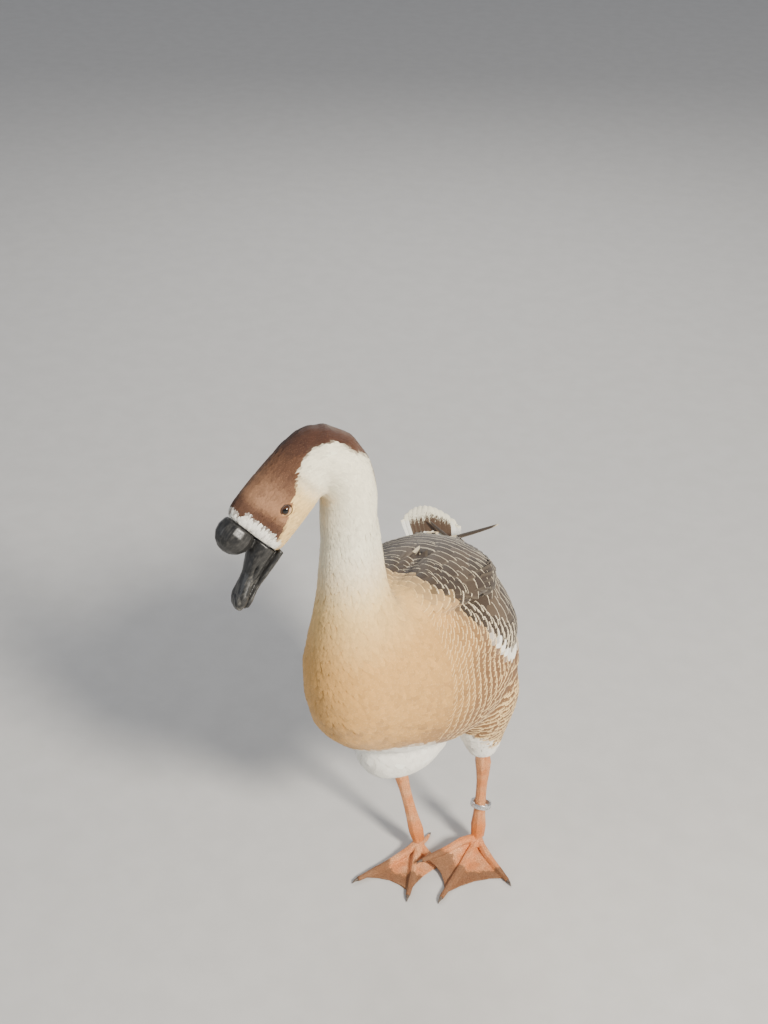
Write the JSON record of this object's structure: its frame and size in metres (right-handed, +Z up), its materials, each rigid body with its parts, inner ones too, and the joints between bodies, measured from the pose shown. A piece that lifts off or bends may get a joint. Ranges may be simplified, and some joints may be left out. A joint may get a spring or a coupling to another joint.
{
  "type": "domestic goose",
  "caption": "Life-size domestic goose of the knobbed brown type, standing on both feet with its head bent down to its right; a still model.",
  "frame": {"origin": "on the floor, under the middle of the whole goose", "axes": "+Z up; the goose's body faces -Y and its left side is +X"},
  "size_m": [0.2616, 0.5136, 0.6792],
  "materials": {
    "plumage": "matte feathers",
    "horn": "semi-gloss, worn",
    "eye": "wet gloss",
    "leg_skin": "scaly, satin",
    "claw": "satin",
    "band": "satin, scuffed"
  },
  "bodies": {
    "root": {"belly": "plumage", "bill_lower": "horn", "bill_upper": "horn", "breast": "plumage", "claw_left_hind": "claw", "claw_left_inner": "claw", "claw_left_middle": "claw", "claw_left_outer": "claw", "claw_right_hind": "claw", "claw_right_inner": "claw", "claw_right_middle": "claw", "claw_right_outer": "claw", "eye_left": "eye", "eye_right": "eye", "head": "plumage", "knob": "horn", "leg_band": "band", "neck_middle": "plumage", "neck_upper": "plumage", "rump": "plumage", "shank_left": "leg_skin", "shank_right": "leg_skin", "tail": "plumage", "thigh_left": "plumage", "thigh_right": "plumage", "toe_left_hind": "leg_skin", "toe_left_inner": "leg_skin", "toe_left_middle": "leg_skin", "toe_left_outer": "leg_skin", "toe_right_hind": "leg_skin", "toe_right_inner": "leg_skin", "toe_right_middle": "leg_skin", "toe_right_outer": "leg_skin", "trunk": "plumage", "web_left_inner": "leg_skin", "web_left_middle": "leg_skin", "web_right_inner": "leg_skin", "web_right_middle": "leg_skin", "wing_left_coverts": "plumage", "wing_left_primaries": "plumage", "wing_left_scapulars": "plumage", "wing_left_tertials": "plumage", "wing_right_coverts": "plumage", "wing_right_primaries": "plumage", "wing_right_scapulars": "plumage", "wing_right_tertials": "plumage"}
  },
  "joints": []
}
